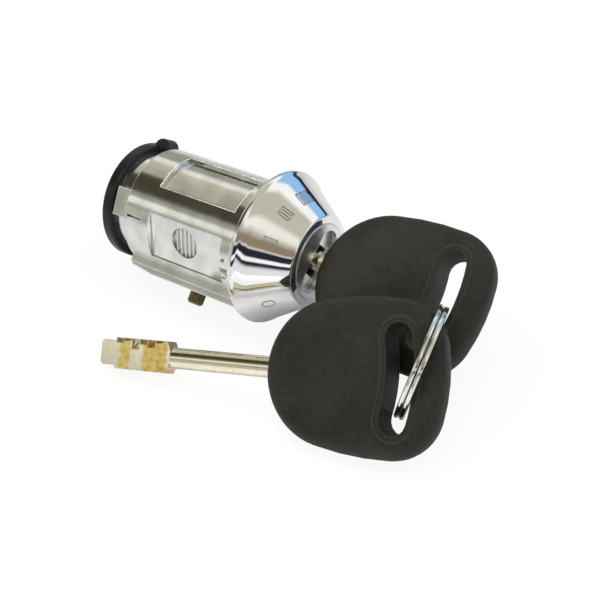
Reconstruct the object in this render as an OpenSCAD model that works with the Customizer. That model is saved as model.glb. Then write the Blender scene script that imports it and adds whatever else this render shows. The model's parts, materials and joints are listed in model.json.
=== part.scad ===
// Ignition lock barrel with its key, a spare key and a split key ring.
// The lock axis lies along +X, out of the keyhole, and +Z is up.
// The origin is on the lock axis, in the plane of the bezel's rim.

/* [Housing] */
// Outside diameter of the barrel body
body_d = 26; // [25.6:0.1:27]
// Length from the bezel's rim plane to the rear end of the body
body_len = 32; // [30:0.5:36]
// Bore that the plug turns in
bore_d = 18; // [17:0.1:18.4]
// Diameter of the step that the bezel is pressed on
seat_d = 25; // [24:0.1:25.2]
// Outside diameter of the nose tube inside the bezel
nose_d = 20.4; // [19.6:0.1:20.6]
// Distance that the nose tube ends behind the bezel's front wall
nose_short = 2.3; // [2.2:0.1:4]
// Length of the shoulder between the body and the collar
shoulder_len = 3.4; // [2:0.1:5]
// Thickness of the rear wall that the driver passes through
rear_wall = 4.9; // [3:0.1:6]
// Edge break at the rear end of the body
body_chamfer = 0.6; // [0.2:0.1:1]

/* [Side pocket] */
// Direction of the side pocket round the axis, from +Y towards +Z
pocket_a = 168; // [160:1:176]
// Distance from the axis to the flat pocket floor
pocket_floor = 11.6; // [11.2:0.1:12.2]
// Height of the pocket across the axis
pocket_h = 10.2; // [8:0.1:11]
// Distance from the rim plane to the front end of the pocket
pocket_front = 5.2; // [4:0.1:8]
// Length of the pocket along the axis
pocket_len = 19.6; // [16:0.1:21]
// Width of the notches at the front end of the pocket
notch_w = 1.3; // [0.8:0.1:2]
// Heights of the two notches across the pocket
notch_at = [-1.2, 2.9];
// Diameter of the round sight recess in the pocket
sight_d = 6.8; // [5:0.1:7.4]
// Height of the round sight recess across the pocket
sight_at = -0.6; // [-2:0.1:2]
// Distance from the middle of the pocket to the sight recess
sight_back = 0.6; // [0:0.1:2]
// Depth of the round sight recess
sight_depth = 0.7; // [0.4:0.1:1]
// Width of the ribs in the sight recess
sight_rib = 0.35; // [0.2:0.05:0.5]

/* [Rear slit] */
// Direction of the slit round the axis
slit_a = 154; // [150:1:158]
// Width of the slit
slit_w = 0.6; // [0.4:0.1:1]
// Depth of the slit
slit_depth = 0.9; // [0.5:0.1:1.5]
// Length of the slit along the axis
slit_len = 4; // [3:0.1:5]

/* [Top recesses] */
// Direction of the wide top recess round the axis
top_a = 94; // [88:1:100]
// Angle that the wide top recess covers
top_sweep = 48; // [40:1:54]
// Direction of the narrow top recess behind the rib
behind_a = 41; // [36:1:44]
// Angle that the narrow top recess covers
behind_sweep = 24; // [16:1:28]
// Depth of the top recesses below the body
top_depth = 1.1; // [0.6:0.1:1.4]
// Distance from the rim plane to the front end of the top recesses
top_front = 4.6; // [3.5:0.1:7]
// Length of the top recesses along the axis
top_len = 20; // [16:0.1:22]

/* [Rail and retaining pin] */
// Direction of the guide rail round the axis
rail_a = 222; // [216:1:228]
// Height of the rail above the body
rail_h = 2; // [1.6:0.1:2.6]
// Width of the rail
rail_w = 8.4; // [7.4:0.1:9]
// Length of the rail along the axis
rail_len = 29.9; // [24:0.1:30.4]
// Length of the slope at the rail's rear end
rail_slope = 6; // [3:0.1:8]
// Height that the rail loses on that slope
rail_drop = 0.7; // [0.3:0.1:1]
// Width of the step at the rail's foot
rail_foot_w = 9.8; // [9.2:0.1:10.6]
// Height of that step above the body
rail_foot_h = 0.8; // [0.4:0.1:1]
// Distance from the rim plane to the retaining pin
pin_back = 14.5; // [9:0.1:16]
// Diameter of the retaining pin in the rail
pin_d = 4.1; // [3.9:0.1:4.4]
// Diameter of the pin's free tip
pin_tip_d = 3.5; // [3:0.1:3.6]
// Length of pin that stands out of the rail
pin_out = 2.6; // [1.5:0.1:3]
// Diameter of the pin's foot, which the rail's lip holds in
pin_foot_d = 5; // [4.9:0.1:5.4]
// Thickness of the pin's foot
pin_foot_t = 0.6; // [0.5:0.1:0.8]
// Thickness of the lip round the pin
pin_lip = 0.9; // [0.7:0.1:1.1]
// Metal left under the pin's hole
pin_floor = 0.7; // [0.6:0.1:1]
// Wire of the pin's spring
pin_wire = 0.28; // [0.2:0.02:0.3]

/* [Bezel] */
// Diameter of the bezel's rim
rim_d = 33; // [32:0.1:36]
// Height of the bezel from the rim plane to its front face
bezel_h = 10.7; // [9:0.1:13]
// Diameter of the bezel's flat front face
face_d = 18.4; // [17.8:0.1:20]
// Radius of the bezel's front edge, and depth of its rim behind the rim plane
bezel_edge = 0.9; // [0.6:0.1:1.2]
// Radius of the bead round the bezel's rim
bead_r = 1.2; // [1.1:0.1:1.4]
// Wall thickness of the bezel
bezel_wall = 1.3; // [1:0.1:1.6]
// Thickness of the flange at the back of the bezel
bezel_flange = 1.5; // [1.2:0.1:2]

/* [Position marks] */
// Directions of the marks round the axis: off, then the three key positions
mark_a = [199, 131, 102.5, 73];
// Distance from the rim plane to the middle of the marks
mark_x = 6; // [5:0.1:7]
// Length of a mark along the cone
mark_l = 3; // [2.4:0.1:3.4]
// Width of one bar
bar_w = 0.9; // [0.7:0.1:1]
// Distance between two bars
bar_pitch = 1.3; // [1.2:0.1:1.5]
// Width of the mark for off
off_w = 2.1; // [1.8:0.1:2.4]
// Width of the engraved line
line_w = 0.28; // [0.15:0.01:0.3]
// Depth of the engraved line
line_depth = 0.3; // [0.15:0.05:0.35]

/* [Rear collar] */
// Outside diameter of the collar
collar_d = 25.8; // [24.6:0.1:27]
// Thickness of the collar along the axis
collar_t = 2.9; // [2:0.1:4]
// Width of the collar's ring
collar_w = 2.1; // [1.8:0.1:2.6]
// Step of the shoulder that the collar stops on
shoulder_h = 0.6; // [0.4:0.1:1]
// Edge radius of the collar
collar_edge = 0.7; // [0.3:0.1:0.9]
// Direction of the collar's locating lug round the axis
lug_a = 52; // [46:1:58]
// Width of the locating lug
lug_w = 3.2; // [2.4:0.1:4.4]
// Length of the lug along the axis
lug_l = 4.4; // [4:0.1:4.8]
// Height of the lug above the collar
lug_h = 1.5; // [1:0.1:1.8]
// Gap between the lug and the body
lug_gap = 0.8; // [0.4:0.1:1]
// Direction of the housing's stop block, in front of the collar
tongue_a = 144; // [136:1:150]
// Width of the stop block
tongue_w = 6.2; // [4:0.1:7]
// Gap between the stop block and the collar
tongue_gap = 0.8; // [0.4:0.1:1.2]

/* [Plug] */
// Diameter of the plug's chrome cap
cap_d = 16.4; // [15.8:0.1:17]
// Height that the cap stands proud of the bezel
cap_proud = 0.2; // [0:0.1:0.6]
// Thickness of the cap
cap_t = 1.9; // [1.5:0.1:2.4]
// Length of the oval keyhole recess
recess_l = 14; // [12:0.1:14.6]
// Width of the oval keyhole recess
recess_w = 6.4; // [6:0.1:7.4]
// Floor left under the keyhole recess
recess_floor = 0.5; // [0.3:0.1:0.9]
// Diameter of the disc tumblers
disc_d = 13; // [12.4:0.1:13.4]
// Thickness of a spacer washer
spacer_t = 0.45; // [0.4:0.05:0.55]
// Cut steps of the disc tumblers, from the front
disc_code = [1, 3, 2, 4, 1, 2];
// Turn of a disc for each cut step
code_step = 8; // [5:1:10]
// Direction of the sidebar round the axis
sidebar_a = 300; // [280:1:330]
// Thickness of the sidebar
sidebar_t = 2; // [1.6:0.1:2.4]
// Depth of the gates that the sidebar drops in
gate_depth = 1.1; // [0.8:0.1:1.3]
// Length of the sidebar in front of the discs
sidebar_head = 3; // [2.6:0.1:3.4]
// Length of the sidebar behind the discs
sidebar_tail = 2.6; // [2.3:0.1:2.8]
// Room for the sidebar to rise to the bore
sidebar_room = 0.3; // [0.2:0.05:0.5]
// Depth of the spring pockets under the sidebar
spring_pocket = 2.4; // [2:0.1:2.8]
// Wire of the sidebar's springs
sidebar_wire = 0.25; // [0.2:0.05:0.3]

/* [Driver] */
// Diameter of the driver's hub in the rear wall
hub_d = 14.8; // [13:0.1:15.4]
// Thickness of the driver's flange
driver_flange = 2.5; // [2:0.1:3.5]
// Length of the driver's tail behind the clip
tail_len = 3; // [2:0.1:5]
// Width of the driver's tail
tail_w = 10; // [7:0.1:11]
// Thickness of the driver's tail
tail_t = 3.2; // [2:0.1:4]
// Thickness of the thrust washer
washer_t = 0.6; // [0.4:0.1:1]
// Thickness of the retaining clip
clip_t = 1; // [0.8:0.1:1.2]
// Depth of the clip's groove
groove_depth = 0.7; // [0.5:0.1:1]
// Width of the clip's mouth
clip_mouth = 11.8; // [10.5:0.1:12.4]
// Outside diameter of the retaining clip
clip_d = 18; // [17:0.1:19]

/* [Keys] */
// Length of the bow
bow_len = 36.9; // [35.5:0.1:39]
// Width of the bow
bow_w = 30.5; // [29.4:0.1:33]
// Thickness of the bow
bow_t = 6; // [5.4:0.1:6.2]
// Radius of the bow's blade end
bow_nose_r = 14.3; // [13.6:0.1:14.6]
// Radius of the bow's long sides
bow_side_r = 60; // [50:1:80]
// Radius of the bow's two corners
bow_corner_r = 10; // [8:0.1:11]
// Radius of the bow's far end
bow_end_r = 37; // [34:1:44]
// Radius of the bow's rounded edge
bow_edge = 2.3; // [1.6:0.1:2.5]
// Width of the ring slot
slot_w = 5.6; // [5.2:0.1:6]
// Length of the ring slot
slot_l = 21; // [19:0.1:21.6]
// Bar left between the ring slot and the far end
slot_bar = 5.5; // [5:0.1:6]
// Radius that the ring slot is bent to
slot_bend = 34; // [28:1:44]
// Width of the moulded lip round the slot
lip_w = 1.2; // [0.8:0.1:1.6]
// Height of the moulded lip
lip_h = 0.3; // [0.2:0.05:0.4]
// Length of the blade that stands out of the bow
blade_len = 39.6; // [37:0.1:41]
// Diameter of the blade's round shank
shank_d = 4.3; // [4:0.1:4.6]
// Thickness of the bit
bit_t = 3.4; // [3.2:0.1:3.4]
// Length of the bit, with its tip
bit_len = 17.2; // [16:0.1:18]
// Width of the bit
bit_w = 6.5; // [6:0.1:6.8]
// Length of the plain tip
tip_len = 3.6; // [3:0.1:4]
// Width of the plain tip
tip_w = 5.2; // [4.6:0.1:5.6]
// Length of one cut
cut_len = 1.95; // [1.8:0.05:2]
// Ridge left between two cuts
cut_ridge = 0.25; // [0.15:0.05:0.35]
// Depth of a cut for each step of its code
cut_step = 0.28; // [0.2:0.01:0.32]
// Direction of the key across the axis
key_a = 34; // [30:1:38]
// Distance from the rim plane to the bow
key_front = 12; // [11.9:0.1:13]

/* [Spare key] */
// Forward place of the spare key's bow
spare_x = 15.5; // [15.4:0.05:15.6]
// Sideways place of the spare key's bow
spare_y = -24.55; // [-24.65:0.05:-24.45]
// Height of the spare key's bow
spare_z = -7.17; // [-7.2:0.01:-7.1]
// Heading of the spare key
spare_yaw = 12.25; // [12:0.05:12.5]
// Rise of the spare key towards its bow
spare_pitch = 9; // [8.8:0.05:9.2]
// Lean of the spare key on its blade
spare_roll = 46.55; // [46.3:0.05:46.8]

/* [Split ring] */
// Diameter of the ring at the middle of its wire
ring_d = 22; // [21.8:0.1:22.2]
// Thickness of the ring's wire
ring_wire = 1; // [0.8:0.05:1.1]
// Forward place of the ring's centre
ring_x = 43.25; // [43.15:0.05:43.35]
// Sideways place of the ring's centre
ring_y = -13.36; // [-13.44:0.02:-13.28]
// Height of the ring's centre
ring_z = -2.35; // [-2.43:0.02:-2.27]
// Heading of the ring's axis
ring_yaw = 14.84; // [14.44:0.1:15.24]
// Rise of the ring's axis
ring_pitch = -18.33; // [-18.73:0.1:-17.93]

/* [Fits] */
// Running clearance on the radius, plug and hub in their bores
run_gap = 0.05; // [0.02:0.01:0.1]
// Clearance on the radius of loose inner pieces
loose_gap = 0.1; // [0.05:0.01:0.2]
// Clearance on the radius of pressed and moulded pieces
seat_gap = 0.02; // [0.01:0.01:0.04]
// End play between turning and fixed faces
end_play = 0.2; // [0.1:0.05:0.3]

/* [Hidden] */
fine = 96;
over = 1;

body_r = body_d / 2;
rail_out = body_r + rail_h;
bore_r = bore_d / 2;
plug_r = bore_r - run_gap;
seat_r = seat_d / 2;
nose_r = nose_d / 2;
spigot_r = collar_d / 2 - collar_w;
shoulder_r = spigot_r + shoulder_h;
rim_r = rim_d / 2;
face_r = face_d / 2;
hub_r = hub_d / 2;
cap_r = cap_d / 2;
disc_r = disc_d / 2;
cavity_r = disc_r + loose_gap;

// Stations along the axis, from the front to the rear
cap_front = bezel_h + cap_proud;
plug_front = cap_front - cap_t;
face_back = bezel_h - bezel_wall;
nose_front = face_back - nose_short;
seat_back = -bezel_edge;
body_back = -body_len;
collar_front = body_back - shoulder_len;
collar_back = collar_front - collar_t;
housing_back = collar_back - end_play;
rear_wall_front = housing_back + rear_wall;
flange_back = rear_wall_front + end_play;
plug_back = flange_back + driver_flange;
washer_back = housing_back - end_play / 2 - washer_t;
clip_back = washer_back - end_play / 2 - clip_t;
hub_back = clip_back - over;
blade_tip = key_front - blade_len;
disc_t = cut_len - spacer_t;
stack_front = blade_tip + tip_len + len(disc_code) * cut_len + spacer_t / 2;
stack_len = len(disc_code) * cut_len + spacer_t;
spigot_front = stack_front - stack_len - end_play;

// Keyway that the bit passes through
keyway_w = bit_w + 2 * loose_gap;
keyway_t = shank_d + 2 * loose_gap;

// Sidebar and the gates that it drops in
sidebar_low = disc_r - gate_depth + loose_gap;
sidebar_top = plug_r - sidebar_room;
sidebar_front = stack_front + sidebar_head;
sidebar_back = spigot_front - sidebar_tail;
spring_d = sidebar_t - 2 * loose_gap;
spring_low = disc_r - spring_pocket;

// Retaining pin stations, out from the axis
pin_hole_low = bore_r + pin_floor;
pin_foot_top = rail_out - pin_lip - seat_gap;
pin_tip = rail_out + pin_out;

// Cone of the bezel: centres of its rim and front edges, the way out of it, and its slope
cone_a = [rim_r - bezel_edge, 0];
cone_b = [face_r, bezel_h - bezel_edge];
cone_n = [cone_b.y - cone_a.y, cone_a.x - cone_b.x] / norm(cone_b - cone_a);
cone_slope = (cone_b.x - cone_a.x) / (cone_b.y - cone_a.y);

// Bow arcs: centres of the nose, side, corner and end arcs
nose_c = [bow_nose_r, 0];
side_c = [bow_nose_r + sqrt(pow(bow_side_r - bow_nose_r, 2) - pow(bow_side_r - bow_w / 2, 2)),
  bow_w / 2 - bow_side_r];
end_c = [bow_len - bow_end_r, 0];
corner_c = meet(side_c, bow_side_r - bow_corner_r, end_c, bow_end_r - bow_corner_r);
tang_l = bow_nose_r - over;
slot_mid = bow_len - slot_bar - slot_w / 2;
slot_half = asin((slot_l - slot_w) / 2 / slot_bend);

// Point where two circles meet, on the far side of the line between their centres
function meet(a, ra, b, rb) =
  let (d = norm(b - a), t = (ra * ra - rb * rb + d * d) / (2 * d), h = sqrt(ra * ra - t * t))
  let (e = (b - a) / d)
  a + e * t + [e.y, -e.x] * h;

// Direction from one point to another, in degrees
function heading(a, b) = atan2(b.y - a.y, b.x - a.x);

// Points along an arc about a centre, between two directions, with skip points left out at each end
function arc(c, r, from, to, skip = 0) = let (steps = 8)
  [for (i = [skip:steps - skip]) let (a = from + (to - from) * i / steps) c + r * [cos(a), sin(a)]];

// Turns a profile of radius and station round the lock axis
module revolve() {
  rotate([0, 90, 0]) rotate_extrude($fn = fine) children();
}

// Puts a feature drawn along +Y at an angle round the lock axis
module at_angle(a) {
  rotate([a, 0, 0]) children();
}

// Block that starts at a station and a height above the axis, centred across
module block(x, low, size) {
  translate([x, low, -size.z / 2]) cube(size);
}

// Extrudes a section drawn in the plane across the axis, from one station to another
module across(from, to) {
  translate([from, 0, 0]) rotate([90, 0, 90]) linear_extrude(to - from) children();
}

// Round bar along +Y between two heights above the axis
module radial_bar(x, low, high, d) {
  translate([x, low, 0]) rotate([-90, 0, 0]) cylinder(h = high - low, d = d, $fn = fine);
}

// Flat section with round ends
module stadium(l, w) {
  square([l - w, w], center = true);
  for (s = [-1, 1]) translate([s * (l - w) / 2, 0]) circle(d = w, $fn = fine);
}

// Tube of round wire swept along points, with a frame that keeps its side across the given axis
module wire_tube(path, axis, d, sides) {
  n = len(path);
  ring_of = function(i)
    let (t0 = path[min(i + 1, n - 1)] - path[max(i - 1, 0)], t = t0 / norm(t0))
    let (s0 = cross(axis, t), s = s0 / norm(s0), w = cross(t, s))
    [for (k = [0:sides - 1]) path[i] + (s * cos(k * 360 / sides) + w * sin(k * 360 / sides)) * d / 2];
  points = [for (i = [0:n - 1]) each ring_of(i)];
  walls = [for (i = [0:n - 2], k = [0:sides - 1]) let (a = i * sides + k, b = i * sides + (k + 1) % sides)
    each [[a, a + sides, b + sides], [a, b + sides, b]]];
  first = [[for (k = [0:sides - 1]) k]];
  last = [[for (k = [sides - 1:-1:0]) (n - 1) * sides + k]];
  polyhedron(points, concat(walls, first, last), convexity = 8);
}

// Helical compression spring along +Z, standing on z = 0
module coil_spring(d, wire, height, turns) {
  steps = 16;
  rise = height - wire;
  r = (d - wire) / 2;
  path = [for (i = [0:turns * steps])
    [r * cos(i * 360 / steps), r * sin(i * 360 / steps), wire / 2 + rise * i / (turns * steps)]];
  wire_tube(path, [0, 0, 1], wire, 6);
}

// Section of the housing, radius across and station up
module housing_section() {
  polygon([
    [bore_r, nose_front], [nose_r, nose_front], [nose_r, bezel_flange], [seat_r, bezel_flange],
    [seat_r, seat_back], [body_r, seat_back], [body_r, body_back + body_chamfer],
    [body_r - body_chamfer, body_back], [shoulder_r, body_back], [shoulder_r, collar_front],
    [spigot_r, collar_front], [spigot_r, housing_back], [hub_r + run_gap, housing_back],
    [hub_r + run_gap, rear_wall_front], [bore_r, rear_wall_front]
  ]);
}

// Guide rail on a wider foot, with a sloping rear end
module rail() {
  front = seat_back - end_play;
  rear = front - rail_len;
  root = bore_r + over;
  at_angle(rail_a) {
    block(rear, root, [rail_len, body_r + rail_foot_h - root, rail_foot_w]);
    translate([0, 0, -rail_w / 2]) linear_extrude(rail_w) polygon([
      [front, root], [front, rail_out], [rear + rail_slope, rail_out],
      [rear, rail_out - rail_drop], [rear, root]
    ]);
  }
}

// Stop block behind the body, in front of the collar
module tongue() {
  low = spigot_r - over;
  at_angle(tongue_a)
    block(collar_front + tongue_gap, low, [shoulder_len - tongue_gap + over, collar_d / 2 - low, tongue_w]);
}

// Flat-floored pocket in the side of the body, with the notches at its front end
module side_pocket() {
  at_angle(pocket_a) {
    block(-pocket_front - pocket_len, pocket_floor, [pocket_len, body_r, pocket_h]);
    for (z = notch_at)
      translate([0, 0, z])
        block(-pocket_front - over, pocket_floor + sight_depth, [over + notch_w, body_r, notch_w]);
  }
}

// Round recess in the pocket floor, with upright ribs left standing
module sight_recess() {
  pitch = sight_d / 6;
  at_angle(pocket_a) translate([-pocket_front - pocket_len / 2 - sight_back, 0, sight_at]) difference() {
    radial_bar(0, pocket_floor - sight_depth, pocket_floor + over, sight_d);
    for (i = [-2:2])
      block(i * pitch - sight_rib / 2, pocket_floor - sight_depth - over,
        [sight_rib, over + sight_depth / 2, sight_d]);
  }
}

// Recess round the top of the body, with flat facets
module top_recess(at, sweep) {
  facets = 3;
  facet_a = sweep / facets;
  floor_r = (body_r - top_depth) / cos(facet_a / 2);
  angles = [for (i = [0:facets]) at + i * facet_a - sweep / 2];
  across(-top_front - top_len, -top_front) polygon(concat(
    [for (a = angles) floor_r * [cos(a), sin(a)]],
    [for (i = [facets:-1:0]) body_d * [cos(angles[i]), sin(angles[i])]]
  ));
}

// Plain relief on the far side of the body
module far_relief() {
  at_angle(pocket_a + 180)
    block(-pocket_front - pocket_len, pocket_floor, [pocket_len, body_r, pocket_h]);
}

// Short slit in the plain band at the rear of the body
module rear_slit() {
  at_angle(slit_a)
    block(body_back + 2 * body_chamfer, body_r - slit_depth, [slit_len, slit_depth + over, slit_w]);
}

// Stepped hole for the retaining pin and its spring
module pin_hole() {
  at_angle(rail_a) {
    radial_bar(-pin_back, pin_hole_low, rail_out - pin_lip, pin_foot_d + 2 * run_gap);
    radial_bar(-pin_back, pin_hole_low, rail_out + over, pin_d + 2 * run_gap);
  }
}

module housing() {
  color("#b8b6ab") difference() {
    union() {
      revolve() housing_section();
      rail();
      tongue();
    }
    side_pocket();
    sight_recess();
    top_recess(top_a, top_sweep);
    top_recess(behind_a, behind_sweep);
    far_relief();
    rear_slit();
    pin_hole();
  }
}

// Section of the bezel: a cone with a bead round its rim, hollow over the housing's nose
module bezel_section() {
  in_a = cone_a + cone_n * (bezel_edge - bezel_wall);
  floor_y = bezel_flange - bezel_edge;
  n_a = atan2(cone_n.y, cone_n.x);
  bead_c = [rim_r - bead_r, bead_r - bezel_edge];
  bead_a = n_a + acos((bezel_edge - cone_n * (bead_c - cone_a)) / bead_r);
  polygon(concat(
    [[cap_r + run_gap, bezel_h]], arc(cone_b, bezel_edge, 90, n_a), arc(bead_c, bead_r, bead_a, -90),
    [[seat_r + seat_gap, -bezel_edge], [seat_r + seat_gap, floor_y]],
    [for (y = [floor_y, face_back]) [in_a.x + cone_slope * (y - in_a.y), y]],
    [[cap_r + run_gap, face_back]]
  ));
}

// Places a mark on the cone, with its length along X and its depth along -Z
module on_cone(a) {
  skin = cone_a + cone_n * bezel_edge;
  at_angle(a) translate([mark_x, skin.x + cone_slope * (mark_x - skin.y), 0])
    rotate([-90, 0, 0]) rotate([0, atan2(cone_n.y, cone_n.x), 0]) children();
}

// Engraved line round a bar, or round an oval where the ends are round
module mark_line(w, round) {
  for_line = function(l, b) round
    ? concat(arc([(l - b) / 2, 0], b / 2, -90, 90), arc([(b - l) / 2, 0], b / 2, 90, 270))
    : [[-l / 2, -b / 2], [l / 2, -b / 2], [l / 2, b / 2], [-l / 2, b / 2]];
  translate([0, 0, -line_depth]) linear_extrude(line_depth + over) difference() {
    polygon(for_line(mark_l, w));
    polygon(for_line(mark_l - 2 * line_w, w - 2 * line_w));
  }
}

module bezel() {
  color("#d6d6d8") difference() {
    revolve() bezel_section();
    on_cone(mark_a[0]) mark_line(off_w, true);
    for (n = [1:3], i = [0:n - 1])
      on_cone(mark_a[n]) translate([0, (i - (n - 1) / 2) * bar_pitch, 0]) mark_line(bar_w, false);
  }
}

// Section of the collar ring with round edges
module collar_section() {
  inner = spigot_r + seat_gap;
  w = collar_d / 2 - inner;
  translate([inner, collar_back]) square([w - collar_edge, collar_t]);
  translate([inner, collar_back + collar_edge]) square([w, collar_t - 2 * collar_edge]);
  for (y = [collar_back + collar_edge, collar_front - collar_edge])
    translate([collar_d / 2 - collar_edge, y]) circle(r = collar_edge, $fn = fine);
}

// Locating lug: a half-round boss that stands over the shoulder
module lug() {
  middle = body_back - lug_gap - lug_l / 2;
  top = collar_d / 2 + lug_h;
  low = shoulder_r + loose_gap;
  at_angle(lug_a) translate([0, 0, -lug_w / 2]) linear_extrude(lug_w) polygon(concat(
    arc([middle, top - lug_l / 2], lug_l / 2, 180, 0),
    [[middle + lug_l / 2, low], [middle - lug_l / 2, low]]
  ));
}

module collar() {
  color("#1b1b1a") union() {
    revolve() collar_section();
    lug();
  }
}

module retaining_pin() {
  chamfer = pin_tip_d / 8;
  foot_low = pin_foot_top - pin_foot_t;
  color("#8a7a3e") at_angle(rail_a) {
    radial_bar(-pin_back, foot_low, pin_foot_top, pin_foot_d);
    radial_bar(-pin_back, foot_low, rail_out + run_gap, pin_d);
    radial_bar(-pin_back, foot_low, pin_tip - chamfer, pin_tip_d);
    translate([-pin_back, pin_tip - chamfer, 0]) rotate([-90, 0, 0])
      cylinder(h = chamfer, d1 = pin_tip_d, d2 = pin_tip_d - 2 * chamfer, $fn = fine);
  }
}

module pin_spring() {
  high = pin_foot_top - pin_foot_t;
  color("#9a9a96") at_angle(rail_a) translate([-pin_back, pin_hole_low + seat_gap, 0]) rotate([-90, 0, 0])
    coil_spring(pin_foot_d - 4 * run_gap, pin_wire, high - pin_hole_low - 2 * seat_gap, 3);
}

// Section of the keyway, with the long side along the key
module keyway(w, t) {
  rotate(key_a) square([w, t], center = true);
}

// Groove that the sidebar moves in, cut from the cavity out through the plug
module sidebar_slot(low) {
  at_angle(sidebar_a) block(sidebar_back - loose_gap, low,
    [sidebar_front - sidebar_back + 2 * loose_gap, plug_r + over - low, sidebar_t + 2 * loose_gap]);
}

module plug() {
  color("#a8a49a") difference() {
    revolve() translate([0, plug_back]) square([plug_r, plug_front - plug_back]);
    revolve() translate([0, plug_back - over]) square([cavity_r, stack_front - plug_back + over]);
    across(stack_front - over, plug_front + over) keyway(keyway_w, keyway_t);
    sidebar_slot(cavity_r - over / 2);
    at_angle(sidebar_a)
      radial_bar(sidebar_front - sidebar_t / 2 - loose_gap, spring_low, plug_r, sidebar_t);
  }
}

module plug_cap() {
  color("#cfcfcf") difference() {
    revolve() {
      translate([0, plug_front]) square([cap_r, cap_t - cap_proud]);
      translate([0, plug_front]) square([cap_r - cap_proud, cap_t]);
    }
    across(plug_front + recess_floor, cap_front + over) rotate(key_a) stadium(recess_l, recess_w);
    across(plug_front - over, cap_front) keyway(keyway_w, keyway_t);
  }
}

// Disc tumbler: a keyhole widened to its cut angle, and the gate for the sidebar
module disc(i) {
  front = stack_front - spacer_t - i * cut_len;
  color("#b59a55") across(front - disc_t, front) difference() {
    circle(r = disc_r, $fn = fine);
    for (a = [0, disc_code[i] * code_step]) rotate(a) keyway(keyway_w, keyway_t);
    gate();
  }
}

// Notch in the rim of a disc or a spacer
module gate() {
  w = sidebar_t + 2 * loose_gap;
  rotate(sidebar_a) translate([disc_r - gate_depth, -w / 2]) square([gate_depth + over, w]);
}

module spacer_washers() {
  hole_r = norm([keyway_w, keyway_t]) / 2;
  color("#9c9c98") for (i = [0:len(disc_code)])
    across(stack_front - i * cut_len - spacer_t, stack_front - i * cut_len) difference() {
      circle(r = disc_r, $fn = fine);
      circle(r = hole_r, $fn = fine);
      gate();
    }
}

// Locking bar that rests in the gates of the discs
module sidebar() {
  tongue_front = stack_front - loose_gap;
  tongue_back = spigot_front + loose_gap;
  color("#b0a070") at_angle(sidebar_a) {
    block(sidebar_back, disc_r + loose_gap, [sidebar_front - sidebar_back, sidebar_top - disc_r - loose_gap,
      sidebar_t]);
    block(tongue_back, sidebar_low,
      [tongue_front - tongue_back, disc_r + 2 * loose_gap - sidebar_low, sidebar_t]);
  }
}

module sidebar_springs() {
  height = disc_r + loose_gap - spring_low - 2 * seat_gap;
  color("#9a9a96") at_angle(sidebar_a)
    for (x = [sidebar_front - sidebar_t / 2 - loose_gap, sidebar_back + sidebar_t / 2 + loose_gap])
      translate([x, spring_low + seat_gap, 0]) rotate([-90, 0, 0])
        coil_spring(spring_d, sidebar_wire, height, 4);
}

// Section of the driver: spigot in the plug, flange, hub and clip groove
module driver_section() {
  groove_r = hub_r - groove_depth;
  spigot = cavity_r - seat_gap;
  polygon([
    [0, spigot_front], [spigot, spigot_front], [spigot, plug_back], [plug_r, plug_back],
    [plug_r, flange_back], [hub_r, flange_back], [hub_r, clip_back + clip_t + seat_gap],
    [groove_r, clip_back + clip_t + seat_gap], [groove_r, clip_back - seat_gap],
    [hub_r, clip_back - seat_gap], [hub_r, hub_back], [0, hub_back]
  ]);
}

module driver() {
  tip_room = end_play + over;
  color("#8f8d86") difference() {
    union() {
      revolve() driver_section();
      rotate([key_a, 0, 0]) translate([hub_back - tail_len, -tail_w / 2, -tail_t / 2])
        cube([tail_len + over, tail_w, tail_t]);
    }
    across(min(blade_tip, spigot_front) - tip_room, spigot_front + over) keyway(keyway_w, keyway_t);
    at_angle(sidebar_a) radial_bar(sidebar_back + sidebar_t / 2 + loose_gap, spring_low, plug_r, sidebar_t);
    sidebar_slot(disc_r);
  }
}

module thrust_washer() {
  color("#8d8d88") revolve() translate([hub_r + loose_gap, washer_back])
    square([clip_d / 2 - hub_r - loose_gap, washer_t]);
}

// Open spring clip in the groove of the driver's hub
module retaining_clip() {
  inner = hub_r - groove_depth + seat_gap;
  color("#55534e") difference() {
    revolve() translate([inner, clip_back]) square([clip_d / 2 - inner, clip_t]);
    at_angle(sidebar_a + 180) block(clip_back - over, 0, [clip_t + 2 * over, clip_d, clip_mouth]);
  }
}

// Rounded edge of the bow along one arc of its outline
module bow_arc(c, r, from, to) {
  h = bow_t / 2 - bow_edge;
  translate(c) rotate(from) rotate_extrude(angle = to - from, $fn = 56) intersection() {
    union() {
      for (z = [-h, h]) translate([r - bow_edge, z]) circle(r = bow_edge, $fn = 20);
    }
    translate([r - bow_edge, -bow_t]) square([bow_edge, 2 * bow_t]);
  }
}

// Body of the bow: nose, side, corner and end arcs that run into each other
module bow_body() {
  nose_a = heading(side_c, nose_c);
  side_a = heading(side_c, corner_c);
  end_a = heading(end_c, corner_c);
  hull() {
    bow_arc(nose_c, bow_nose_r, nose_a, 360 - nose_a);
    for (s = [0, 1]) mirror([0, s, 0]) {
      bow_arc(side_c, bow_side_r, side_a, nose_a);
      bow_arc(corner_c, bow_corner_r, end_a, side_a);
    }
    bow_arc(end_c, bow_end_r, -end_a, end_a);
  }
}

// Curved ring slot, widened all round by grow
module ring_slot(grow) {
  w = slot_w / 2 + grow;
  c = [slot_mid - slot_bend, 0];
  end = slot_bend * [cos(slot_half), sin(slot_half)];
  polygon(concat(
    arc(c, slot_bend + w, -slot_half, slot_half), arc(c + end, w, slot_half, slot_half + 180, 1),
    arc(c, slot_bend - w, slot_half, -slot_half),
    arc(c + [end.x, -end.y], w, 180 - slot_half, 360 - slot_half, 1)
  ));
}

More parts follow.
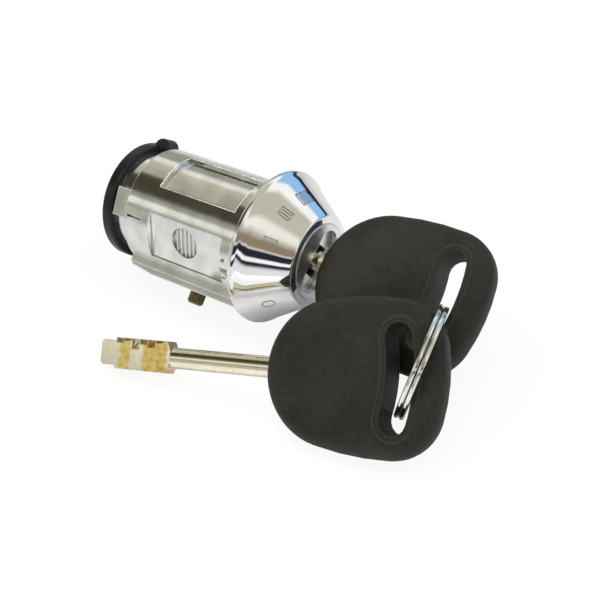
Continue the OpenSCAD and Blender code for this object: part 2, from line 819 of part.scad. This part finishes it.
module bow() {
  difference() {
    union() {
      bow_body();
      translate([0, 0, -bow_t / 2 - lip_h]) linear_extrude(bow_t + 2 * lip_h) ring_slot(lip_w);
    }
    translate([0, 0, -bow_t]) linear_extrude(2 * bow_t) ring_slot(0);
    key_bar(-over, tang_l + seat_gap, shank_d + 2 * seat_gap);
  }
}

// Round bar along the key between two stations
module key_bar(from, to, d) {
  translate([from, 0, 0]) rotate([0, 90, 0]) cylinder(h = to - from, d = d, $fn = fine);
}

// Cuts at one step of the bit, the same on both edges after half a turn
module bit_cut(i) {
  code = disc_code[len(disc_code) - 1 - i];
  from = tip_len - blade_len + i * cut_len + cut_ridge / 2;
  for (turn = [0, 180]) rotate([turn, 0, 0]) translate([from, bit_w / 2 - code * cut_step, 0])
    rotate([code * code_step, 0, 0]) translate([0, 0, -bit_w]) cube([cut_len - cut_ridge, bit_w, 2 * bit_w]);
}

// Blade along -X from the bow: round shank, bit with its cuts, plain tip
module blade() {
  shank_l = blade_len - bit_len;
  lead = (bit_w - shank_d) / 2;
  tip_back = tip_len - blade_len;
  root = shank_d / 4;
  edge = [[over - shank_l, root], [-shank_l, root], [-shank_l - lead, bit_w / 2], [tip_back, bit_w / 2],
    [tip_back, tip_w / 2], [-blade_len + lead / 2, tip_w / 2], [-blade_len, tip_w / 2 - lead / 2]];
  key_bar(-shank_l, tang_l, shank_d);
  difference() {
    translate([0, 0, -bit_t / 2]) linear_extrude(bit_t)
      polygon(concat(edge, [for (k = [len(edge) - 1:-1:0]) [edge[k].x, -edge[k].y]]));
    for (i = [0:len(disc_code) - 1]) bit_cut(i);
  }
}

// Places a key in the lock
module in_lock() {
  translate([key_front, 0, 0]) rotate([key_a, 0, 0]) children();
}

// Places the spare key where it lies beside the lock
module as_spare() {
  translate([spare_x, spare_y, spare_z]) rotate([spare_roll, -spare_pitch, spare_yaw]) children();
}

module key_blade() {
  color("#c8b684") in_lock() blade();
}

module key_bow() {
  color("#2b2a26") in_lock() bow();
}

module spare_blade() {
  color("#c8b684") as_spare() blade();
}

module spare_bow() {
  color("#2b2a26") as_spare() bow();
}

// Two turns of round wire that lie on each other, with a short step between the turns
module split_ring() {
  steps = 48;
  lift = (ring_wire + seat_gap) / 2;
  step_of = function(i) max(-1, min(1, (i - steps) / 4));
  path = [for (i = [0:2 * steps])
    [cos(i * 360 / steps) * ring_d / 2, sin(i * 360 / steps) * ring_d / 2, lift * step_of(i)]];
  color("#c4c4c6") translate([ring_x, ring_y, ring_z]) rotate([0, 90 - ring_pitch, ring_yaw])
    wire_tube(path, [0, 0, 1], ring_wire, 8);
}

housing();
bezel();
collar();
retaining_pin();
pin_spring();
plug();
plug_cap();
disc(0);  // disc_1
disc(1);  // disc_2
disc(2);  // disc_3
disc(3);  // disc_4
disc(4);  // disc_5
disc(5);  // disc_6
spacer_washers();
sidebar();
sidebar_springs();
driver();
thrust_washer();
retaining_clip();
key_blade();
key_bow();
spare_blade();
spare_bow();
split_ring();
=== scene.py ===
import json
import math

import bpy
import numpy as np
from mathutils import Matrix, Vector


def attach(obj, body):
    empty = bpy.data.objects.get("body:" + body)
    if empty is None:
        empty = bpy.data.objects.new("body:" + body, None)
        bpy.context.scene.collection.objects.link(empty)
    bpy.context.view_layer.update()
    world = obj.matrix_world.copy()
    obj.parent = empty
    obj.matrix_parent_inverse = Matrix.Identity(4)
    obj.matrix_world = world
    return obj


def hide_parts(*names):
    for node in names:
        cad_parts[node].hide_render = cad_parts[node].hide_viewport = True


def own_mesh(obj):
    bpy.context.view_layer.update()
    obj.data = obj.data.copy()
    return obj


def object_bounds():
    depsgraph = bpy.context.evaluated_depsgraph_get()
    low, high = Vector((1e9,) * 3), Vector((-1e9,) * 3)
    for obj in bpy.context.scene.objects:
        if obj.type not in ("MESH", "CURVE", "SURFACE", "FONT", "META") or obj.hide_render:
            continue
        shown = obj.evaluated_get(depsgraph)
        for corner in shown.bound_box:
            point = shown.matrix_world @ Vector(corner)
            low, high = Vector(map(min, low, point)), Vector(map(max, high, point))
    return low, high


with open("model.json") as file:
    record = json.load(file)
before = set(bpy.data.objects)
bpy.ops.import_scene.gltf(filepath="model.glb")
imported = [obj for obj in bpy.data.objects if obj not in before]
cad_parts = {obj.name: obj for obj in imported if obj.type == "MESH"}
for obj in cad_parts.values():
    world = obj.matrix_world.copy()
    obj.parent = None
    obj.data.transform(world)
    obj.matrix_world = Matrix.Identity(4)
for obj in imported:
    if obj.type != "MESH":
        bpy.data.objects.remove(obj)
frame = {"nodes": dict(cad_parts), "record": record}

nodes = frame["nodes"]
record = frame["record"]
cad_box = [list(c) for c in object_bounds()]
scene = bpy.context.scene
MM = 0.001


def rgb(r, g, b):
    return (r, g, b, 1.0)


class Graph:
    """Short way to add and wire shader nodes."""

    def __init__(self, tree):
        self.tree = tree
        tree.nodes.clear()

    def add(self, kind, props=None, **inputs):
        node = self.tree.nodes.new(kind)
        for name, value in (props or {}).items():
            setattr(node, name, value)
        for name, value in inputs.items():
            self.put(node, name, value)
        return node

    def put(self, node, name, value):
        """Wires or sets an input, found by its name or, as i0, i1 and so on, by its place."""
        by_place = name[0] == "i" and name[1:].isdigit()
        key = int(name[1:]) if by_place else name.replace("_", " ")
        if isinstance(value, bpy.types.NodeSocket):
            self.tree.links.new(value, node.inputs[key])
        else:
            node.inputs[key].default_value = value

    def math(self, op, a, b=0.0, clamp=False):
        props = {"operation": op, "use_clamp": clamp}
        return self.add("ShaderNodeMath", props, i0=a, i1=b).outputs[0]

    def times(self, a, b):
        return self.math("MULTIPLY", a, b)

    def plus(self, a, b):
        return self.math("ADD", a, b)

    def minus(self, a, b):
        return self.math("SUBTRACT", a, b)

    def dot(self, a, b):
        props = {"operation": "DOT_PRODUCT"}
        return self.add("ShaderNodeVectorMath", props, i0=a, i1=b).outputs["Value"]

    def span(self, value, low, high):
        """0 at low and before it, 1 at high and past it."""
        return self.math("DIVIDE", self.minus(value, low), high - low, True)

    def ramp(self, value, stops):
        node = self.add("ShaderNodeValToRGB", i0=value)
        spots = node.color_ramp.elements
        while len(spots) < len(stops):
            spots.new(0.5)
        for spot, (at, colour) in zip(spots, stops):
            spot.position = at
            spot.color = (*colour, 1.0)
        return node.outputs[0]

    def mix(self, share, a, b):
        return self.add("ShaderNodeMix", {"data_type": "RGBA"}, i0=share, i6=a, i7=b).outputs[2]

    def spot(self):
        """Position in the shared frame, in metres."""
        return self.add("ShaderNodeTexCoord").outputs["Object"]

    def noise(self, scale, detail, vector=None):
        place = vector or self.spot()
        return self.add("ShaderNodeTexNoise", Scale=scale, Detail=detail, Vector=place).outputs["Fac"]

    def blotch(self, scale, low, high):
        """Patches, with so many to the metre, that grow from 0 to 1 between two levels of noise."""
        return self.span(self.noise(scale, 5.0), low, high)

    def ray(self, kind):
        return self.add("ShaderNodeLightPath").outputs[f"Is {kind} Ray"]


# Materials

EDGE_RAYS = 6
EDGE_COSINE = (0.985, 0.88)
# Painted shade in grooves and inner corners, found by ambient occlusion; the last number is how far the
# colour goes towards the dark tone
HOLLOW_RAYS = 8
HOLLOW_LIGHT = (0.9, 0.4)
PAINTED_SHADE_SHARE = 0.7


def material(name, build):
    made = bpy.data.materials.new(name)
    made.use_nodes = True
    g = Graph(made.node_tree)
    shader = g.add("ShaderNodeBsdfPrincipled")
    build(g, shader)
    g.add("ShaderNodeOutputMaterial", i0=shader.outputs[0])
    return made


def skin(g, shader, height, strength, depth, blunt):
    """Fine relief on a surface whose edges are blunted by a small round. Returns 1 on edges, 0 on faces."""
    soft = g.add("ShaderNodeBevel", {"samples": EDGE_RAYS}, Radius=blunt).outputs[0]
    bump = g.add("ShaderNodeBump", Strength=strength, Distance=depth, Height=height, Normal=soft)
    g.put(shader, "Normal", bump.outputs[0])
    true = g.add("ShaderNodeNewGeometry").outputs["Normal"]
    return g.span(g.dot(soft, true), *EDGE_COSINE)


def hollow(g, reach):
    """1 in grooves and inner corners, 0 on open faces."""
    props = {"samples": HOLLOW_RAYS, "only_local": True}
    light = g.add("ShaderNodeAmbientOcclusion", props, Distance=reach).outputs["AO"]
    return g.span(light, *HOLLOW_LIGHT)


def metal(colour, dull, rough, spread, grain, depth, blunt=0.2 * MM, reach=0.6 * MM, edge_wear_and_highlight=0.0):
    """Metal with blotches of a duller tone, a fine uneven skin, painted shade in its hollows and, if asked,
    pale edges that are partly wear and partly a painted highlight.
    """
    # Dark tone of the painted shade in hollows
    painted_shade_tone = rgb(*[0.25 * c for c in dull[:3]])
    # Pale tone of the edges, partly wear and partly a painted highlight
    worn_and_highlit_tone = rgb(0.95, 0.95, 0.92)
    shelter = 3 * reach

    def build(g, s):
        fine = g.noise(grain, 3.0)
        tone = g.mix(g.blotch(scale=230.0, low=0.38, high=0.68), colour, dull)
        edge = skin(g, s, fine, strength=0.3, depth=depth, blunt=blunt)
        # Pale edges, patchy and kept off inner corners: partly wear, partly a painted highlight
        if edge_wear_and_highlight:
            worn_and_highlit_edge = g.times(edge, g.minus(1.0, hollow(g, shelter)))
            worn_and_highlit_edge = g.times(g.times(worn_and_highlit_edge, g.blotch(scale=300.0, low=0.3, high=0.6)), edge_wear_and_highlight)
            tone = g.mix(worn_and_highlit_edge, tone, worn_and_highlit_tone)
            g.put(s, "Metallic", g.minus(1.0, worn_and_highlit_edge))
        else:
            g.put(s, "Metallic", 1.0)
        # Painted shade: the base colour darkens in grooves and inner corners
        g.put(s, "Base_Color", g.mix(g.times(hollow(g, reach), PAINTED_SHADE_SHARE), tone, painted_shade_tone))
        g.put(s, "Roughness", g.plus(g.times(fine, spread), rough))
    return build


def plastic(colour, pale, rough, gloss, grain, depth, blunt, edge_wear_and_highlight):
    """Moulded plastic with cloudy tone, a fine grain and paler edges that are partly wear and partly a
    painted sheen.
    """
    # Pale tone of the edges, partly wear and partly a painted sheen on the rims
    worn_and_highlit_edge = rgb(*[2.4 * c for c in pale[:3]])
    cloud_rough = 0.1

    def build(g, s):
        cloud = g.blotch(scale=75.0, low=0.36, high=0.66)
        fine = g.span(g.noise(grain, 2.0), 0.3, 0.7)
        mean = g.times(g.plus(cloud, fine), 0.5)
        # Paler edges: partly wear, partly a painted sheen on the rims
        edge = g.times(skin(g, s, fine, strength=0.4, depth=depth, blunt=blunt), edge_wear_and_highlight)
        g.put(s, "Base_Color", g.mix(edge, g.mix(mean, colour, pale), worn_and_highlit_edge))
        g.put(s, "Roughness", g.plus(g.times(cloud, cloud_rough), rough))
        g.put(s, "Specular_IOR_Level", gloss)
    return build


# Stretches of the bit where the plating is worn through, from the tip, in mm
BARE = ((4.6, 7.2), (10.4, 16.4))
BARE_FADE = 0.2
BARE_RAGGED = 1.6


def plated_brass(points):
    """Nickel-plated brass, bare in ragged stretches of the bit, for the blade with these points."""
    along = np.linalg.svd(points - points.mean(axis=0), full_matrices=False)[2][0]
    along = along * math.copysign(1.0, along[0])
    tip = float((points @ along).min())
    # Dark brown of the painted shade in the blade's grooves and cuts
    painted_shade_brown = rgb(0.12, 0.08, 0.02)
    plate_rough, bare_rough = 0.07, 0.16

    def build(g, s):
        station = g.math("DIVIDE", g.minus(g.dot(g.spot(), tuple(along)), tip), MM)
        station = g.plus(station, g.times(g.minus(g.noise(700.0, 3.0), 0.5), BARE_RAGGED))
        bare = 0.0
        for low, high in BARE:
            begun = g.span(station, low - BARE_FADE, low + BARE_FADE)
            unended = g.span(station, high + BARE_FADE, high - BARE_FADE)
            bare = g.math("ADD", bare, g.times(begun, unended), True)
        patch = g.blotch(scale=900.0, low=0.4, high=0.7)
        plate = g.mix(patch, rgb(0.95, 0.90, 0.76), rgb(0.90, 0.80, 0.55))
        brass = g.mix(patch, rgb(0.95, 0.76, 0.30), rgb(0.70, 0.47, 0.12))
        # Painted shade: darker in grooves and inner corners, found by ambient occlusion
        hollow_shade_mask = g.times(hollow(g, 0.6 * MM), PAINTED_SHADE_SHARE)
        g.put(s, "Base_Color", g.mix(hollow_shade_mask, g.mix(bare, plate, brass), painted_shade_brown))
        g.put(s, "Metallic", 1.0)
        g.put(s, "Roughness", g.plus(g.times(bare, bare_rough), plate_rough))
        skin(g, s, g.noise(1400.0, 3.0), strength=0.3, depth=0.008 * MM, blunt=0.25 * MM)
    return build


# The last number of some looks pales their edges, partly wear and partly a painted highlight
looks = {
    "plated_zinc": metal(
        colour=rgb(0.90, 0.90, 0.89), dull=rgb(0.72, 0.72, 0.69), rough=0.09, spread=0.09,
        grain=600.0, depth=0.035 * MM, blunt=0.35 * MM, reach=0.6 * MM, edge_wear_and_highlight=0.9),
    "mirror_chrome": metal(
        colour=rgb(0.93, 0.93, 0.94), dull=rgb(0.89, 0.89, 0.90), rough=0.03, spread=0.04,
        grain=300.0, depth=0.004 * MM, blunt=0.05 * MM, reach=0.3 * MM),
    "satin_chrome": metal(
        colour=rgb(0.93, 0.93, 0.94), dull=rgb(0.86, 0.86, 0.87), rough=0.26, spread=0.08,
        grain=500.0, depth=0.01 * MM, blunt=0.1 * MM, reach=0.5 * MM),
    "pin_brass": metal(
        colour=rgb(0.27, 0.235, 0.115), dull=rgb(0.11, 0.095, 0.04), rough=0.2, spread=0.2,
        grain=900.0, depth=0.04 * MM, blunt=0.3 * MM),
    "spring_steel": metal(
        colour=rgb(0.62, 0.62, 0.60), dull=rgb(0.50, 0.50, 0.49), rough=0.22, spread=0.15,
        grain=900.0, depth=0.03 * MM),
    "plug_zinc": metal(
        colour=rgb(0.60, 0.59, 0.56), dull=rgb(0.50, 0.49, 0.46), rough=0.25, spread=0.2,
        grain=700.0, depth=0.05 * MM),
    "disc_brass": metal(
        colour=rgb(0.75, 0.58, 0.28), dull=rgb(0.60, 0.45, 0.20), rough=0.20, spread=0.2,
        grain=700.0, depth=0.03 * MM),
    "ring_steel": metal(
        colour=rgb(0.88, 0.88, 0.86), dull=rgb(0.80, 0.80, 0.78), rough=0.06, spread=0.06,
        grain=900.0, depth=0.02 * MM),
    "black_plastic": plastic(
        colour=rgb(0.005, 0.0055, 0.006), pale=rgb(0.010, 0.011, 0.012), rough=0.26, gloss=0.35,
        grain=2500.0, depth=0.02 * MM, blunt=0.3 * MM, edge_wear_and_highlight=0.8),
    "bow_plastic": plastic(
        colour=rgb(0.0035, 0.0034, 0.0027), pale=rgb(0.022, 0.0215, 0.017), rough=0.5, gloss=0.4,
        grain=1500.0, depth=0.06 * MM, blunt=0.6 * MM, edge_wear_and_highlight=0.7),
}
looks = {slot: material(slot, build) for slot, build in looks.items()}

# Each solid in its material, with faceted curves shaded smooth and true edges kept sharp
WELD_GAP = 1e-6
SHARP_ANGLE = math.radians(28)
slot_of = {row["node"]: row["material_slot"] for row in record["subparts"]}
slot_of["plug_cap"] = "satin_chrome"


def corner_points(obj):
    return np.array([v.co for v in obj.data.vertices])


for name, obj in nodes.items():
    slot = slot_of[name]
    if slot == "nickel_brass":
        look = material("nickel_brass_" + name, plated_brass(corner_points(obj)))
    else:
        look = looks[slot]
    obj.data.materials.clear()
    obj.data.materials.append(look)
    for face in obj.data.polygons:
        face.use_smooth = True
    weld = obj.modifiers.new("weld", "WELD")
    weld.merge_threshold = WELD_GAP
    edges = obj.modifiers.new("edges", "EDGE_SPLIT")
    edges.split_angle = SHARP_ANGLE

# Spring of the pin, as a copy with a mesh of its own, carried by the barrel
coil = nodes["pin_spring"].copy()
coil.data = coil.data.copy()
coil.name = "pin_spring_coil"
scene.collection.objects.link(coil)
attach(coil, "barrel")
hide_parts("pin_spring")
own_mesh(coil)

# Floor, nearly white to the camera, with a faint shadow close to the object
FLOOR_HALF = 1.5
FLOOR_GREY = rgb(0.74, 0.74, 0.74)
FLOOR_GLOW = 1.05
NEAR_WHITE = 0.85
FADE = (0.12, 0.3)

paper = bpy.data.materials.new("paper")
paper.use_nodes = True
g = Graph(paper.node_tree)
shade = g.add("ShaderNodeBsdfDiffuse", Color=FLOOR_GREY).outputs[0]
white = g.add("ShaderNodeEmission", Color=rgb(1, 1, 1), Strength=FLOOR_GLOW).outputs[0]
far = g.add("ShaderNodeVectorMath", {"operation": "LENGTH"}, i0=g.spot()).outputs["Value"]
whiteness = g.plus(g.times(g.span(far, *FADE), 1 - NEAR_WHITE), NEAR_WHITE)
both = g.add("ShaderNodeMixShader", i0=g.times(g.ray("Camera"), whiteness), i1=shade, i2=white)
g.add("ShaderNodeOutputMaterial", i0=both.outputs[0])

floor_z = cad_box[0][2]
corners = [(x * FLOOR_HALF, y * FLOOR_HALF, floor_z) for x, y in ((-1, -1), (1, -1), (1, 1), (-1, 1))]
floor_mesh = bpy.data.meshes.new("floor")
floor_mesh.from_pydata(corners, [], [(0, 1, 2, 3)])
floor_mesh.materials.append(paper)
floor = bpy.data.objects.new("floor", floor_mesh)
scene.collection.objects.link(floor)

# Tones of the studio round the lock
WHITE = (1.0, 1.0, 0.98)
PALE = (0.72, 0.73, 0.72)
MILK = (0.90, 0.89, 0.80)
CREAM = (0.80, 0.79, 0.70)
SAND = (0.55, 0.53, 0.43)
STONE = (0.45, 0.445, 0.365)
ASH = (0.34, 0.34, 0.30)
BROWN = (0.29, 0.225, 0.155)
OLIVE = (0.060, 0.058, 0.036)
NAVY = (0.020, 0.024, 0.034)
BLUE = (0.31, 0.57, 0.87)
# What metal sees at each angle about the lock's axis, from +Y over the top, in degrees
FRONT = (
    (0, PALE), (3, NAVY), (7, NAVY), (10, BLUE), (27, BLUE), (33, WHITE), (44, WHITE), (54, SAND),
    (92, SAND), (104, MILK), (114, MILK), (125, SAND), (135, BROWN), (147, BROWN), (150, CREAM),
    (153, NAVY), (165, NAVY), (167, WHITE), (172, WHITE), (174, NAVY), (179, NAVY), (183, PALE), (359, PALE))
BACK = (
    (0, ASH), (33, ASH), (37, MILK), (45, MILK), (52, SAND), (60, SAND), (72, STONE), (82, STONE),
    (87, OLIVE), (121, OLIVE), (127, ASH), (135, ASH), (140, MILK), (148, MILK), (153, ASH), (155, ASH),
    (161, SAND), (176, ASH), (184, PALE), (359, PALE))
# From the front tones to the back ones, along the lock's axis
FRONT_TO_BACK = (-0.15, -0.45)
WAVY_SCALE = 2.5
WAVY_TURN = 0.03
ROOM_GREY = rgb(0.62, 0.63, 0.63)

world = bpy.data.worlds.new("studio")
scene.world = world
world.use_nodes = True
g = Graph(world.node_tree)
way = g.add("ShaderNodeTexCoord").outputs["Generated"]
part = g.add("ShaderNodeSeparateXYZ", i0=way).outputs
turn = g.math("DIVIDE", g.math("ARCTAN2", part["Z"], part["Y"]), 2 * math.pi)
wavy = g.times(g.minus(g.noise(WAVY_SCALE, 2.0, way), 0.5), WAVY_TURN)
turn = g.math("FRACT", g.plus(turn, wavy))
front, back = [g.ramp(turn, [(a / 360, tone) for a, tone in stops]) for stops in (FRONT, BACK)]
room = g.mix(g.span(part["X"], *FRONT_TO_BACK), front, back)
room = g.mix(g.ray("Diffuse"), room, ROOM_GREY)
lit = g.add("ShaderNodeBackground", Color=room, Strength=1.0).outputs[0]
blank = g.add("ShaderNodeBackground", Color=rgb(1, 1, 1), Strength=1.0).outputs[0]
both = g.add("ShaderNodeMixShader", i0=g.ray("Camera"), i1=lit, i2=blank)
g.add("ShaderNodeOutputWorld", i0=both.outputs[0])


def panel(name, at, aim, size, power, colour):
    """Soft lamp that stays out of reflections and out of the picture."""
    data = bpy.data.lights.new(name, "AREA")
    data.shape = "RECTANGLE"
    data.size, data.size_y = size
    data.energy = power
    data.color = colour
    lamp = bpy.data.objects.new(name, data)
    lamp.location = at
    lamp.rotation_mode = "QUATERNION"
    lamp.rotation_quaternion = (Vector(aim) - Vector(at)).to_track_quat("-Z", "Y")
    lamp.visible_glossy = False
    lamp.visible_camera = False
    scene.collection.objects.link(lamp)


# Three large lamps for the whole set, and two small ones that shade the bows
SET = (0.01, -0.01, 0.0)
KEY_BOW = (0.02, -0.002, 0.002)
SPARE_BOW = (0.038, -0.034, -0.01)
NEUTRAL = (1.0, 1.0, 1.0)
WARM = (1.0, 0.98, 0.95)
SOFT_WARM = (1.0, 0.99, 0.95)
COOL = (0.97, 0.98, 1.0)
panel("top", at=(0.05, -0.05, 0.6), aim=SET, size=(0.5, 0.5), power=1.3, colour=WARM)
panel("front", at=(-0.1, -0.6, 0.25), aim=SET, size=(0.4, 0.3), power=0.8, colour=NEUTRAL)
panel("side", at=(0.5, 0.2, 0.25), aim=SET, size=(0.3, 0.3), power=0.6, colour=COOL)
panel("over the lock", at=(-0.002, -0.005, 0.05), aim=KEY_BOW, size=(0.03, 0.03),
      power=0.02, colour=SOFT_WARM)
panel("before the spare", at=(0.04, -0.085, 0.0), aim=SPARE_BOW, size=(0.04, 0.02),
      power=0.007, colour=SOFT_WARM)

# Camera at the photo's angle
CAMERA_AT = Vector((138.05, -154.06, 156.53)) * MM
PICTURE_RIGHT = Vector((0.8067, 0.5807, -0.1097))
TO_CAMERA = Vector((0.5049, -0.5806, 0.6387)).normalized()
FOCAL_PX = 1238.57
PICTURE_PX = 600.0
SENSOR_MM = 36.0

up = TO_CAMERA.cross(PICTURE_RIGHT).normalized()
right = up.cross(TO_CAMERA)
place = Matrix((right, up, TO_CAMERA)).transposed().to_4x4()
place.translation = CAMERA_AT
lens = bpy.data.cameras.new("camera")
lens.sensor_width = SENSOR_MM
lens.lens = SENSOR_MM * FOCAL_PX / PICTURE_PX
lens.clip_start, lens.clip_end = 0.01, 10.0
camera = bpy.data.objects.new("camera", lens)
scene.collection.objects.link(camera)
camera.matrix_world = place
scene.camera = camera
scene.view_settings.view_transform = "Standard"
